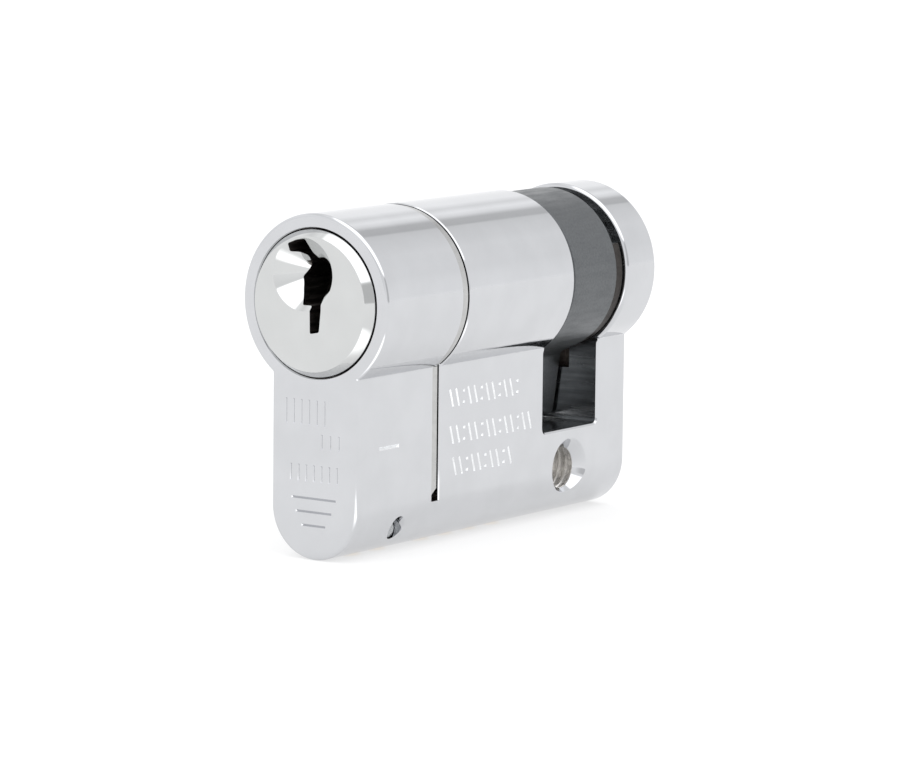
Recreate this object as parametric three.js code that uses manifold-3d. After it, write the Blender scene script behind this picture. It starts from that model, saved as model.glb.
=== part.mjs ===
// Half (single) euro-profile lock cylinder, 36/10, with a sacrificial snap line, built as an assembly.
//
// Frame, in millimetres: the plug turns about Y, the key side faces -Y, +Z is up, and the origin lies on
// the plug's axis in the middle plane of the cam, where the fixing screw crosses. The rest pose is the one
// a right key gives: every pin stack parts at the shear line. The cam's nose hangs almost straight down.
import * as THREE from "three";
import { mergeVertices } from "three/addons/utils/BufferGeometryUtils.js";
import Module from "manifold-3d";

const wasm = await Module();
wasm.setup();

// ---- driving dimensions -------------------------------------------------------------------------------

const FRONT_Y = -36; // key-side face
const REAR_Y = 10; // back face
const HEAD_RADIUS = 8.5;
const WEB_HALF_WIDTH = 5;
const BOTTOM_Z = -24.5;
const END_CHAMFER = 0.35;

const BORE_RADIUS = 6.55;
const SEAT_RADIUS = 7.15; // recess in the front face for the plug's flange
const SEAT_DEPTH = 1.9;

const SLOT_HALF_WIDTH = 4.8; // cam slot, along Y
const SLOT_FLOOR_Z = -15.45;
const SLOT_CORNER = 0.6;

const SCREW_Z = -19.5; // M5 fixing screw, across the web
const SCREW_MINOR_RADIUS = 2.1;
const SCREW_MOUTH_RADIUS = 3.0;

const RELIEF_WIDTH = 1.6; // square pocket below the stub's bore, at the back of the slot
const RELIEF_FOOT_Z = -10.1;

const SNAP_REAR_Y = FRONT_Y + 13.38; // rear wall of the snap line
const SNAP_CUT = 0.2; // its narrow deep cut
const SNAP_STEP = 0.95; // its shallow step, in front of the deep cut
const SNAP_STEP_DEPTH = 0.12;
const SNAP_WEB_DEPTH = 1.8;
const SNAP_HEAD_DEPTH = 0.9;
const SNAP_BOTTOM_Z = -19.9;
const SNAP_POCKET = 1.0; // square pocket at the lower end

const PLUG_RADIUS = 6.5;
const PLUG_FACE_Y = FRONT_Y - 0.9; // the plug's face stands proud of the body
const FACE_RADIUS = 6.42; // flat part of that face, inside a steep bevel down to the flange
const FLANGE_RADIUS = 7.0;
const FLANGE_THICKNESS = 1.8;
const PLUG_REAR_Y = -2.6;
const CIRCLIP_Y = -4.35; // middle of the circlip and its groove
const CIRCLIP_THICKNESS = 0.7;
const GROOVE_RADIUS = 5.9;

const DIMPLE = { x: -0.79, z: 2.78, radius: 3.47, depth: 3.4 }; // key lead-in cone

const PIN_DEPTHS = [5, 9, 16.2, 20.2, 24.2, 28.2]; // behind the front face, either side of the snap line
const PIN_RADIUS = 1.4;
const CHAMBER_RADIUS = 1.5;
const PLUG_CHAMBER_TOP_Z = -0.6;
const KEY_PIN_FOOT_Z = -6.3;
const KEY_CUTS = [2, 4, 1, 3, 5, 2]; // depth codes of the key, one for each stack
const KEY_CUT_STEP = 0.45;
const KEY_PIN_BASE_LENGTH = 1.7;
const DRIVER_TOP_Z = -6.6;
const STACK_LENGTH = 8.4; // key pin and driver together
const SPOOL_STACKS = [1, 3, 5]; // stacks with an anti-pick spool driver
const CHAMBER_PLUG_TOP_Z = -22.9;
const CHAMBER_PLUG_FOOT_Z = -24.2;

const SPRING_RADIUS = 1.1;
const SPRING_WIRE_RADIUS = 0.17;
const SPRING_TURNS = 8;

const CAM_RADIUS = 8.2;
const CAM_HALF_WIDTH = 4.5;
const CAM_RIM_RADIUS = 8.05; // low rim behind the ring
const CAM_RIM_WIDTH = 1.25;
const RIM_GAP_HALF_WIDTH = 7.6; // the rim is missing across the top of the ring
const RIM_GAP_FOOT_Z = 3.0;
const CAM_BORE_RADIUS = 6.6;
const CAM_RECESS_RADIUS = 7.45; // front recess, round the circlip
const CAM_RECESS_DEPTH = 0.8;
const NOSE_TIP_RADIUS = 15;
const NOSE_HALF_THICKNESS = 2;
const NOSE_ROOT_FILLET = 1.2;
const NOSE_TIP_CORNER = 0.8;
const NOSE_OVERLAP = 0.4; // how far the nose runs into the ring
const NOSE_REST_TURN = THREE.MathUtils.degToRad(8); // towards -X

const COUPLER_FRONT_Y = -2.5;
const COUPLER_REAR_Y = -0.1;
const COUPLER_RADIUS = 6.3;
const WING_REACH = 7.2;
const WING_HALF_HEIGHT = 1.5;
const TONGUE_HALF_HEIGHT = 1.0;
const TONGUE_LENGTH = 1.0;
const TONGUE_REACH = 5.5;

const SPINDLE_RADIUS = 6.5; // fixed spindle that carries the back of the cam
const SPINDLE_FRONT_Y = 0.1;
const STUB_BORE_DEPTH = 2.8;

const GUARD_DEPTH = 4.2; // plug's anti-drill pins, behind the front face
const GUARD_X = 3.5;
const GUARD_HOLE_RADIUS = 0.9;
const GUARD_REACH = 4.7; // their outer ends, short of the plug's surface
const LOWER_GUARD_TOP_Z = -1.2; // blind end of the lower one's hole
const BODY_GUARD_DEPTH = 3.6;
const BODY_GUARD_X = 3.6;
const BODY_GUARD_HOLE_RADIUS = 0.7;
const BODY_GUARD_FOOT_Z = -12.4;
const BODY_GUARD_TOP_Z = -6.1;
const CROSS_PIN = { depth: 7.3, z: -22, radius: 1.0, innerX: 2.3, outerX: 3.7 };

const FIT = 0.1; // gap round a pressed or loose pin, so that neighbours never share a face
const PAST = 1; // how far a cutting tool runs past the surface that it opens
const ROUND = 40; // sides of a large circle
const SMALL_ROUND = 16; // sides of a pin or a drilled hole

// ---- solids -------------------------------------------------------------------------------------------

function toSolid(geometry) {
  const bare = geometry.clone();
  bare.deleteAttribute("normal");
  bare.deleteAttribute("uv");
  const merged = mergeVertices(bare, 1e-4);
  return new wasm.Manifold(
    new wasm.Mesh({
      numProp: 3,
      vertProperties: new Float32Array(merged.attributes.position.array),
      triVerts: new Uint32Array(merged.index.array),
    }),
  );
}

function toGeometry(solid) {
  const { vertProperties, triVerts } = solid.getMesh();
  const geometry = new THREE.BufferGeometry();
  geometry.setAttribute("position", new THREE.BufferAttribute(new Float32Array(vertProperties), 3));
  geometry.setIndex(new THREE.BufferAttribute(new Uint32Array(triVerts), 1));
  geometry.computeVertexNormals();
  return geometry;
}

const joined = (first, ...others) => others.reduce((sum, other) => sum.add(other), first);
const cut = (block, ...tools) => tools.reduce((rest, tool) => rest.subtract(tool), block);

function box(x0, x1, y0, y1, z0, z1) {
  const geometry = new THREE.BoxGeometry(x1 - x0, y1 - y0, z1 - z0);
  geometry.translate((x0 + x1) / 2, (y0 + y1) / 2, (z0 + z1) / 2);
  return toSolid(geometry);
}

// A round bar along Z, from z0 to z1.
function barZ(x, y, radius, z0, z1, sides = SMALL_ROUND) {
  const geometry = new THREE.CylinderGeometry(radius, radius, z1 - z0, sides);
  geometry.rotateX(Math.PI / 2);
  geometry.translate(x, y, (z0 + z1) / 2);
  return toSolid(geometry);
}

// A round bar or cone along X: radius r0 at x0 and r1 at x1.
function barX(y, z, x0, x1, r0, r1 = r0, sides = 24) {
  const geometry = new THREE.CylinderGeometry(r1, r0, x1 - x0, sides);
  geometry.rotateZ(-Math.PI / 2);
  geometry.translate((x0 + x1) / 2, y, z);
  return toSolid(geometry);
}

// A body of revolution about the Y axis. The profile lists [radius, y] pairs and rises along Y.
function turned(profile, sides = ROUND) {
  return new THREE.LatheGeometry(profile.map(([radius, y]) => new THREE.Vector2(radius, y)), sides);
}

const discY = (radius, y0, y1) => toSolid(turned([[0, y0], [radius, y0], [radius, y1], [0, y1]]));

const ringY = (inner, outer, y0, y1) =>
  toSolid(turned([[inner, y0], [outer, y0], [outer, y1], [inner, y1], [inner, y0]]));

// An outline drawn in X and Z, extruded along Y and turned about the origin.
function prismY(shape, y0, y1, options = {}, turn = 0) {
  const geometry = new THREE.ExtrudeGeometry(shape, {
    depth: y1 - y0,
    bevelEnabled: false,
    curveSegments: 12,
    ...options,
  });
  geometry.rotateX(Math.PI / 2);
  geometry.translate(0, y1, 0);
  geometry.rotateY(turn);
  return toSolid(geometry);
}

function polygon(points) {
  return new THREE.Shape(points.map(([x, z]) => new THREE.Vector2(x, z)));
}

// Points of an arc about (cx, cz), from angle a0 to a1, in the given number of chords.
function arc(cx, cz, radius, a0, a1, chords) {
  return Array.from({ length: chords + 1 }, (_, i) => {
    const angle = a0 + ((a1 - a0) * i) / chords;
    return [cx + radius * Math.cos(angle), cz + radius * Math.sin(angle)];
  });
}

// ---- cylinder body ------------------------------------------------------------------------------------

// The euro profile: a round head on a parallel web with a half-round foot.
function profileShape() {
  const junction = Math.asin(WEB_HALF_WIDTH / HEAD_RADIUS);
  const down = -Math.PI / 2;
  const foot = arc(0, BOTTOM_Z + WEB_HALF_WIDTH, WEB_HALF_WIDTH, 2 * down, 0, 14);
  const head = arc(0, 0, HEAD_RADIUS, down + junction, down + 2 * Math.PI - junction, 32);
  return polygon([...foot, ...head]);
}

function roundedSlot() {
  const profile = new THREE.Shape();
  profile.moveTo(-SLOT_HALF_WIDTH, HEAD_RADIUS + PAST);
  const cornerY = SLOT_HALF_WIDTH - SLOT_CORNER;
  const cornerZ = SLOT_FLOOR_Z + SLOT_CORNER;
  profile.lineTo(-SLOT_HALF_WIDTH, cornerZ);
  profile.absarc(-cornerY, cornerZ, SLOT_CORNER, Math.PI, 1.5 * Math.PI);
  profile.absarc(cornerY, cornerZ, SLOT_CORNER, 1.5 * Math.PI, 2 * Math.PI);
  profile.lineTo(SLOT_HALF_WIDTH, HEAD_RADIUS + PAST);
  profile.closePath();
  const reach = HEAD_RADIUS + PAST;
  const options = { depth: 2 * reach, bevelEnabled: false, curveSegments: 4 };
  const geometry = new THREE.ExtrudeGeometry(profile, options);
  geometry.translate(0, 0, -reach);
  geometry.rotateX(Math.PI / 2);
  geometry.rotateZ(Math.PI / 2);
  return toSolid(geometry);
}

// The snap line: a shallow step and a narrow deep cut, down both sides of the web and round the head.
function snapLine() {
  const cutFront = SNAP_REAR_Y - SNAP_CUT;
  const stepFront = cutFront - SNAP_STEP;
  const shoulderZ = -Math.sqrt(HEAD_RADIUS ** 2 - WEB_HALF_WIDTH ** 2);
  const tools = [];
  for (const side of [-1, 1]) {
    const slab = (depth, y0, y1, z0, z1) => {
      const inner = side * (WEB_HALF_WIDTH - depth);
      const outer = side * (WEB_HALF_WIDTH + PAST);
      return box(Math.min(inner, outer), Math.max(inner, outer), y0, y1, z0, z1);
    };
    tools.push(slab(SNAP_STEP_DEPTH, stepFront, SNAP_REAR_Y, SNAP_BOTTOM_Z, shoulderZ + 0.3));
    tools.push(slab(SNAP_WEB_DEPTH, cutFront, SNAP_REAR_Y, SNAP_BOTTOM_Z, shoulderZ + 0.3));
    const pocketTop = SNAP_BOTTOM_Z + SNAP_POCKET;
    tools.push(slab(SNAP_WEB_DEPTH, SNAP_REAR_Y - SNAP_POCKET, SNAP_REAR_Y, SNAP_BOTTOM_Z, pocketTop));
  }
  const outer = HEAD_RADIUS + PAST;
  const aboveWeb = box(-outer, outer, stepFront - PAST, SNAP_REAR_Y + PAST, shoulderZ, outer);
  const headCut = ringY(HEAD_RADIUS - SNAP_HEAD_DEPTH, outer, cutFront, SNAP_REAR_Y);
  const headStep = ringY(HEAD_RADIUS - SNAP_STEP_DEPTH, outer, stepFront, SNAP_REAR_Y);
  tools.push(headCut.intersect(aboveWeb), headStep.intersect(aboveWeb));
  return joined(...tools);
}

function cylinderBody() {
  const profile = prismY(profileShape(), FRONT_Y + END_CHAMFER, REAR_Y - END_CHAMFER, {
    bevelEnabled: true,
    bevelThickness: END_CHAMFER,
    bevelSize: END_CHAMFER,
    bevelOffset: -END_CHAMFER,
    bevelSegments: 1,
  });
  const tools = [
    discY(SEAT_RADIUS, FRONT_Y - PAST, FRONT_Y + SEAT_DEPTH),
    discY(BORE_RADIUS, FRONT_Y - PAST, 0),
    discY(BORE_RADIUS, 0, SLOT_HALF_WIDTH + STUB_BORE_DEPTH),
    roundedSlot(),
    box(0, RELIEF_WIDTH, 0, SLOT_HALF_WIDTH + RELIEF_WIDTH, RELIEF_FOOT_Z, -BORE_RADIUS + PAST),
    snapLine(),
    barX(0, SCREW_Z, -WEB_HALF_WIDTH - PAST, WEB_HALF_WIDTH + PAST, SCREW_MINOR_RADIUS),
  ];
  const mouth = SCREW_MOUTH_RADIUS - SCREW_MINOR_RADIUS;
  const flare = SCREW_MOUTH_RADIUS + PAST;
  tools.push(barX(0, SCREW_Z, WEB_HALF_WIDTH - mouth, WEB_HALF_WIDTH + PAST, SCREW_MINOR_RADIUS, flare));
  tools.push(barX(0, SCREW_Z, -WEB_HALF_WIDTH - PAST, mouth - WEB_HALF_WIDTH, flare, SCREW_MINOR_RADIUS));
  for (const depth of PIN_DEPTHS) {
    tools.push(barZ(0, FRONT_Y + depth, CHAMBER_RADIUS, BOTTOM_Z - PAST, 0));
  }
  for (const x of [-BODY_GUARD_X, BODY_GUARD_X]) {
    const holeFoot = BODY_GUARD_FOOT_Z - FIT;
    const holeTop = BODY_GUARD_TOP_Z + PAST;
    tools.push(barZ(x, FRONT_Y + BODY_GUARD_DEPTH, BODY_GUARD_HOLE_RADIUS, holeFoot, holeTop, 12));
  }
  const { depth, z, radius, innerX } = CROSS_PIN;
  tools.push(barX(FRONT_Y + depth, z, innerX, WEB_HALF_WIDTH + PAST, radius));
  return cut(profile, ...tools);
}

// ---- plug ---------------------------------------------------------------------------------------------

// The keyway's section: a narrow lower slot, a wide middle, and a neck that leans over to an upper lobe.
const KEYWAY = polygon([
  [0.1, -2.8],
  [1.15, -2.6],
  [1.35, -0.6],
  [1.45, 2.6],
  [1.4, 3.8],
  [-0.2, 4.1],
  [-0.7, 4.7],
  [-0.65, 6.15],
  [-1.65, 6.0],
  [-2.65, 5.6],
  [-2.8, 4.75],
  [-2.0, 4.73],
  [-1.4, 4.4],
  [-1.42, 3.65],
  [-2.2, 2.35],
  [-1.83, 1.23],
  [-1.1, -0.2],
  [0.05, -0.17],
]);

function plug() {
  const flangeRear = FRONT_Y + FLANGE_THICKNESS;
  const grooveHalf = CIRCLIP_THICKNESS / 2 + 0.05;
  const blank = toSolid(
    turned([
      [0, PLUG_FACE_Y],
      [FACE_RADIUS, PLUG_FACE_Y],
      [FLANGE_RADIUS, FRONT_Y],
      [FLANGE_RADIUS, flangeRear],
      [PLUG_RADIUS, flangeRear],
      [PLUG_RADIUS, CIRCLIP_Y - grooveHalf],
      [GROOVE_RADIUS, CIRCLIP_Y - grooveHalf],
      [GROOVE_RADIUS, CIRCLIP_Y + grooveHalf],
      [PLUG_RADIUS, CIRCLIP_Y + grooveHalf],
      [PLUG_RADIUS, PLUG_REAR_Y],
      [0, PLUG_REAR_Y],
    ]),
  );
  const slope = DIMPLE.radius / DIMPLE.depth;
  const cone = new THREE.LatheGeometry(
    [
      new THREE.Vector2(0, -PAST),
      new THREE.Vector2(DIMPLE.radius + slope * PAST, -PAST),
      new THREE.Vector2(0, DIMPLE.depth),
    ],
    36,
  );
  cone.translate(DIMPLE.x, PLUG_FACE_Y, DIMPLE.z);
  const slotHalf = TONGUE_HALF_HEIGHT + FIT;
  const tools = [
    toSolid(cone),
    prismY(KEYWAY, PLUG_FACE_Y - PAST, PLUG_REAR_Y + PAST),
    box(-PLUG_RADIUS - PAST, PLUG_RADIUS + PAST, PLUG_REAR_Y - TONGUE_LENGTH, 0, -slotHalf, slotHalf),
    barZ(GUARD_X, FRONT_Y + GUARD_DEPTH, GUARD_HOLE_RADIUS, 0, PLUG_RADIUS + PAST),
    barZ(-GUARD_X, FRONT_Y + GUARD_DEPTH, GUARD_HOLE_RADIUS, -PLUG_RADIUS - PAST, LOWER_GUARD_TOP_Z),
  ];
  for (const depth of PIN_DEPTHS) {
    tools.push(barZ(0, FRONT_Y + depth, CHAMBER_RADIUS, -PLUG_RADIUS - PAST, PLUG_CHAMBER_TOP_Z));
  }
  return cut(blank, ...tools);
}

// A spring-steel C ring that keeps the plug from sliding out of the front.
function circlip() {
  const inner = GROOVE_RADIUS + 0.05;
  const outer = 7.1;
  const halfGap = THREE.MathUtils.degToRad(28);
  const start = Math.PI / 2 + halfGap;
  const end = (5 * Math.PI) / 2 - halfGap;
  const outline = polygon([...arc(0, 0, outer, start, end, 32), ...arc(0, 0, inner, end, start, 32)]);
  return prismY(outline, CIRCLIP_Y - CIRCLIP_THICKNESS / 2, CIRCLIP_Y + CIRCLIP_THICKNESS / 2);
}

// ---- cam and its drive --------------------------------------------------------------------------------

// The nose as seen from the front, hanging straight down, with fillets where it leaves the ring.
function noseShape() {
  const half = NOSE_HALF_THICKNESS;
  const root = -Math.sqrt(CAM_RADIUS ** 2 - half ** 2);
  const flare = half + NOSE_ROOT_FILLET;
  const flareZ = -Math.sqrt(CAM_RADIUS ** 2 - flare ** 2);
  const shape = new THREE.Shape();
  shape.moveTo(-flare, flareZ + NOSE_OVERLAP);
  shape.lineTo(-flare, flareZ);
  shape.quadraticCurveTo(-half, root, -half, root - NOSE_ROOT_FILLET);
  shape.lineTo(-half, -NOSE_TIP_RADIUS + NOSE_TIP_CORNER);
  shape.quadraticCurveTo(-half, -NOSE_TIP_RADIUS, -half + NOSE_TIP_CORNER, -NOSE_TIP_RADIUS);
  shape.lineTo(half - NOSE_TIP_CORNER, -NOSE_TIP_RADIUS);
  shape.quadraticCurveTo(half, -NOSE_TIP_RADIUS, half, -NOSE_TIP_RADIUS + NOSE_TIP_CORNER);
  shape.lineTo(half, root - NOSE_ROOT_FILLET);
  shape.quadraticCurveTo(half, root, flare, flareZ);
  shape.lineTo(flare, flareZ + NOSE_OVERLAP);
  shape.closePath();
  return shape;
}

function cam() {
  const front = -CAM_HALF_WIDTH;
  const rear = CAM_HALF_WIDTH;
  const nose = prismY(noseShape(), front, rear, { curveSegments: 5 }, NOSE_REST_TURN);
  const blank = joined(
    ringY(CAM_BORE_RADIUS, CAM_RADIUS, front, rear - CAM_RIM_WIDTH),
    ringY(CAM_BORE_RADIUS, CAM_RIM_RADIUS, rear - CAM_RIM_WIDTH - 0.2, rear),
    nose,
  );
  const wing = WING_HALF_HEIGHT + FIT;
  const reach = WING_REACH + FIT;
  const gap = RIM_GAP_HALF_WIDTH;
  return cut(
    blank,
    discY(CAM_RECESS_RADIUS, front - PAST, front + CAM_RECESS_DEPTH),
    box(-reach, reach, front, COUPLER_REAR_Y + FIT, -wing, wing), // seats of the coupler's wings
    box(-gap, gap, rear - CAM_RIM_WIDTH, rear + PAST, RIM_GAP_FOOT_Z, CAM_RADIUS + PAST),
  );
}

// The disc between plug and cam: its tongue sits in the plug, its wings in the cam.
function coupler() {
  return joined(
    discY(COUPLER_RADIUS, COUPLER_FRONT_Y, COUPLER_REAR_Y),
    box(-WING_REACH, WING_REACH, COUPLER_FRONT_Y, COUPLER_REAR_Y, -WING_HALF_HEIGHT, WING_HALF_HEIGHT),
    box(
      -TONGUE_REACH,
      TONGUE_REACH,
      COUPLER_FRONT_Y - TONGUE_LENGTH,
      COUPLER_FRONT_Y + 0.2,
      -TONGUE_HALF_HEIGHT,
      TONGUE_HALF_HEIGHT,
    ),
  );
}

const rearSpindle = () => discY(SPINDLE_RADIUS, SPINDLE_FRONT_Y, SLOT_HALF_WIDTH + STUB_BORE_DEPTH - FIT);

// ---- pin stacks ---------------------------------------------------------------------------------------

// A small turned piece about Z, from its [radius, z] pairs, lowest first.
function turnedPin(profile) {
  const geometry = turned(profile, SMALL_ROUND);
  geometry.rotateX(Math.PI / 2);
  return geometry;
}

const keyPinLength = (stack) => KEY_PIN_BASE_LENGTH + KEY_CUTS[stack] * KEY_CUT_STEP;

// The blunt-pointed pin that rides on the key.
function keyPin(stack) {
  const top = KEY_PIN_FOOT_Z + keyPinLength(stack);
  return turnedPin([
    [0, KEY_PIN_FOOT_Z],
    [PIN_RADIUS - 0.1, KEY_PIN_FOOT_Z],
    [PIN_RADIUS, KEY_PIN_FOOT_Z + 0.1],
    [PIN_RADIUS, top - 0.9],
    [0.5, top],
    [0, top],
  ]);
}

const driverFootZ = (stack) => DRIVER_TOP_Z - (STACK_LENGTH - keyPinLength(stack));

// The sprung pin below it, plain or with a spool waist.
function driverPin(stack) {
  const foot = driverFootZ(stack);
  const waist = [
    [PIN_RADIUS, foot + 1.2],
    [0.95, foot + 1.5],
    [0.95, DRIVER_TOP_Z - 1.2],
    [PIN_RADIUS, DRIVER_TOP_Z - 0.9],
  ];
  return turnedPin([
    [0, foot],
    [PIN_RADIUS - 0.15, foot],
    [PIN_RADIUS, foot + 0.15],
    ...(SPOOL_STACKS.includes(stack) ? waist : []),
    [PIN_RADIUS, DRIVER_TOP_Z - 0.1],
    [PIN_RADIUS - 0.1, DRIVER_TOP_Z],
    [0, DRIVER_TOP_Z],
  ]);
}

class Helix extends THREE.Curve {
  constructor(radius, z0, z1, turns) {
    super();
    Object.assign(this, { radius, z0, z1, turns });
  }
  getPoint(t, target = new THREE.Vector3()) {
    const angle = 2 * Math.PI * this.turns * t;
    const z = this.z0 + (this.z1 - this.z0) * t;
    return target.set(this.radius * Math.cos(angle), this.radius * Math.sin(angle), z);
  }
}

function pinSpring(stack) {
  const z0 = CHAMBER_PLUG_TOP_Z + SPRING_WIRE_RADIUS + FIT;
  const z1 = driverFootZ(stack) - SPRING_WIRE_RADIUS - FIT;
  const wire = new THREE.Shape();
  wire.absarc(0, 0, SPRING_WIRE_RADIUS, 0, 2 * Math.PI, false);
  return new THREE.ExtrudeGeometry(wire, {
    steps: SPRING_TURNS * 6,
    curveSegments: 2,
    extrudePath: new Helix(SPRING_RADIUS, z0, z1, SPRING_TURNS),
  });
}

const chamberPlug = () =>
  turnedPin([
    [0, CHAMBER_PLUG_FOOT_Z],
    [PIN_RADIUS, CHAMBER_PLUG_FOOT_Z],
    [PIN_RADIUS, CHAMBER_PLUG_TOP_Z],
    [0, CHAMBER_PLUG_TOP_Z],
  ]);

// ---- anti-drill pins ----------------------------------------------------------------------------------

const guardRadius = GUARD_HOLE_RADIUS - FIT;
const bodyGuardRadius = BODY_GUARD_HOLE_RADIUS - FIT;
const guardY = FRONT_Y + GUARD_DEPTH;
const upperPlugGuard = () => barZ(GUARD_X, guardY, guardRadius, FIT, GUARD_REACH);
const lowerPlugGuard = () => barZ(-GUARD_X, guardY, guardRadius, -GUARD_REACH, LOWER_GUARD_TOP_Z - FIT);

function bodyGuard(x) {
  return barZ(x, FRONT_Y + BODY_GUARD_DEPTH, bodyGuardRadius, BODY_GUARD_FOOT_Z, BODY_GUARD_TOP_Z, 12);
}

function crossPin() {
  const { depth, z, radius, innerX, outerX } = CROSS_PIN;
  return barX(FRONT_Y + depth, z, innerX + FIT, outerX, radius - FIT);
}

// ---- materials and assembly ---------------------------------------------------------------------------

function finish(color, roughness, metalness) {
  return () => new THREE.MeshStandardMaterial({ color, roughness, metalness });
}

const chrome = finish(0xdfe2e3, 0.12, 1);
const sinteredSteel = finish(0x64686a, 0.55, 0.9);
const hardSteel = finish(0x8d9092, 0.35, 1);
const springSteel = finish(0xa7aaad, 0.3, 1);
const brass = finish(0xb9953f, 0.3, 1);
const blackSteel = finish(0x2e3032, 0.5, 0.8);

const lock = new THREE.Group();

function add(name, shape, makeMaterial, parent = lock) {
  const geometry = shape.isBufferGeometry ? shape : toGeometry(shape);
  const mesh = new THREE.Mesh(geometry, makeMaterial());
  mesh.name = name;
  parent.add(mesh);
  return mesh;
}

add("cylinder_body", cylinderBody(), chrome);
add("plug", plug(), chrome);
add("plug_circlip", circlip(), blackSteel);
add("cam_coupler", coupler(), hardSteel);
add("cam", cam(), sinteredSteel);
add("rear_spindle", rearSpindle(), hardSteel);
add("plug_anti_drill_pin_upper", upperPlugGuard(), hardSteel);
add("plug_anti_drill_pin_lower", lowerPlugGuard(), hardSteel);
add("body_anti_drill_pin_left", bodyGuard(-BODY_GUARD_X), hardSteel);
add("body_anti_drill_pin_right", bodyGuard(BODY_GUARD_X), hardSteel);
add("foot_anti_drill_pin", crossPin(), hardSteel);

PIN_DEPTHS.forEach((depth, stack) => {
  const chamber = new THREE.Group();
  chamber.position.y = FRONT_Y + depth;
  add(`key_pin_${stack + 1}`, keyPin(stack), brass, chamber);
  add(`driver_pin_${stack + 1}`, driverPin(stack), hardSteel, chamber);
  add(`pin_spring_${stack + 1}`, pinSpring(stack), springSteel, chamber);
  add(`chamber_plug_${stack + 1}`, chamberPlug(), brass, chamber);
  lock.add(chamber);
});

export default lock;
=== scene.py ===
"""Looks for the half euro-profile lock cylinder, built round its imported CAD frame."""
import math

import bmesh
import bpy
import numpy as np
from mathutils import Matrix, Vector


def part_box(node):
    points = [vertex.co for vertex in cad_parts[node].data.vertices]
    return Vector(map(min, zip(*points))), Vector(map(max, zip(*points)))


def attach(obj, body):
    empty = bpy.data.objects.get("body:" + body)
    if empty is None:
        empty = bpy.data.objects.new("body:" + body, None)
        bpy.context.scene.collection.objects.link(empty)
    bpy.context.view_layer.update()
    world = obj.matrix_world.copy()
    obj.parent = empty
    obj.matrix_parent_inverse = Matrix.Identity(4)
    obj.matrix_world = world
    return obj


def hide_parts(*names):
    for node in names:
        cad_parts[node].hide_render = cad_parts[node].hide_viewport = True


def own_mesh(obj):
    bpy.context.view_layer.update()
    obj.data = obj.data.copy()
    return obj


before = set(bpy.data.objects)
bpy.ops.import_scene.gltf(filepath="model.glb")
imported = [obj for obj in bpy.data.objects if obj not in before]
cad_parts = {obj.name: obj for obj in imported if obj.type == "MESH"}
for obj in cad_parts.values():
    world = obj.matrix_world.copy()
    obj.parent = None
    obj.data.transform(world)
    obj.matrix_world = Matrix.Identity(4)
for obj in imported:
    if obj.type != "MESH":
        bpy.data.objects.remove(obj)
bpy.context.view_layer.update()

# ---- sizes, in millimetres, read from the frame or named here ------------------------------------------

MM = 0.001


def extent(node):
    """Lowest and highest corner of a CAD node, in millimetres."""
    low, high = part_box(node)
    return low / MM, high / MM


body_low, body_high = extent("cylinder_body")
plug_low, plug_high = extent("plug")
cam_low, cam_high = extent("cam")
spindle_low, spindle_high = extent("rear_spindle")
coupler_low, coupler_high = extent("cam_coupler")
clip_low, clip_high = extent("plug_circlip")

FRONT_Y = round(body_low.y, 2)
REAR_Y = round(body_high.y, 2)
HEAD_R = round(body_high.z, 2)
FOOT_Z = round(body_low.z, 2)
WEB = 5.0  # half width of the web, and radius of its foot
FOOT_CENTRE = FOOT_Z + WEB
SHOULDER_Z = -math.sqrt(HEAD_R ** 2 - WEB ** 2)
SHOULDER_FILLET = 0.25

BORE_R = 6.55
SEAT_R = 7.11
SEAT_DEPTH = 1.9
SLOT_HALF = 4.8
SLOT_FLOOR = -15.45
SLOT_CORNER = 0.6
STUB_BORE = 2.8
SCREW_Z = -19.5
SCREW_MINOR_R = 2.07
SCREW_MAJOR_R = 2.5
SCREW_PITCH = 0.8
SCREW_MOUTH_R = 3.05
SCREW_MOUTH_DEPTH = 1.05

SNAP_REAR = FRONT_Y + 13.38
SNAP_CUT = 0.24
SNAP_STEP = 0.95
SNAP_STEP_DEPTH = 0.12
SNAP_WEB_DEPTH = 1.8
SNAP_HEAD_DEPTH = 0.9
SNAP_BOTTOM = -19.9
SNAP_POCKET = 1.1
SNAP_POCKET_TALL = 0.6
SNAP_FLARE = 0.6
RELIEF = 1.6
RELIEF_FOOT = -10.1

BODY_GUARD_X = 3.6
BODY_GUARD_Y = FRONT_Y + 3.6
BODY_GUARD_R = 0.7
BODY_GUARD_FOOT = -13.0
BODY_GUARD_TOP = -5.0
FOOT_HOLE_R = 1.0
FOOT_HOLE_MOUTH_R = 1.35
FOOT_HOLE_END = 2.3  # how far from the middle plane it ends
FOOT_HOLE_Y = FRONT_Y + 7.3
FOOT_HOLE_Z = -22.0

PLUG_R = 6.5
FLANGE_R = round(plug_high.x, 2)
FLANGE_REAR = FRONT_Y + 1.8
FACE_Y = plug_low.y
FACE_R = 6.42
PLUG_REAR = round(plug_high.y, 2)
GROOVE_R = 5.9
DIMPLE = Vector((-0.79, 0, 2.78))
DIMPLE_R = 3.47
DIMPLE_DEPTH = 3.4
PLUG_GUARD_R = 0.9
LOWER_GUARD_TOP = -1.2
TONGUE = 1.0  # length of the coupler's tongue, and its half height

STACKS = range(1, 7)
CHAMBER_R = 1.5
PLUG_CHAMBER_TOP = -0.6
PIN_R = 1.4
SPOOL_R = 0.95  # waist of a spool driver
SPOOL_STACKS = (2, 4, 6)

CAM_R = 8.2
CAM_BORE_R = 6.6
CAM_RIM_R = 8.05
CAM_RIM = 1.25
RIM_PROUD = 0.12  # how far the rim reaches behind the rest of the cam
RIM_GAP_HALF = 7.6
RIM_GAP_FOOT = 3.0
CAM_RECESS_R = 7.45
CAM_RECESS_DEPTH = 0.8
NOSE_TIP_R = 15.0
NOSE_HALF = 2.0
NOSE_TURN = math.radians(8)

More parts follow.
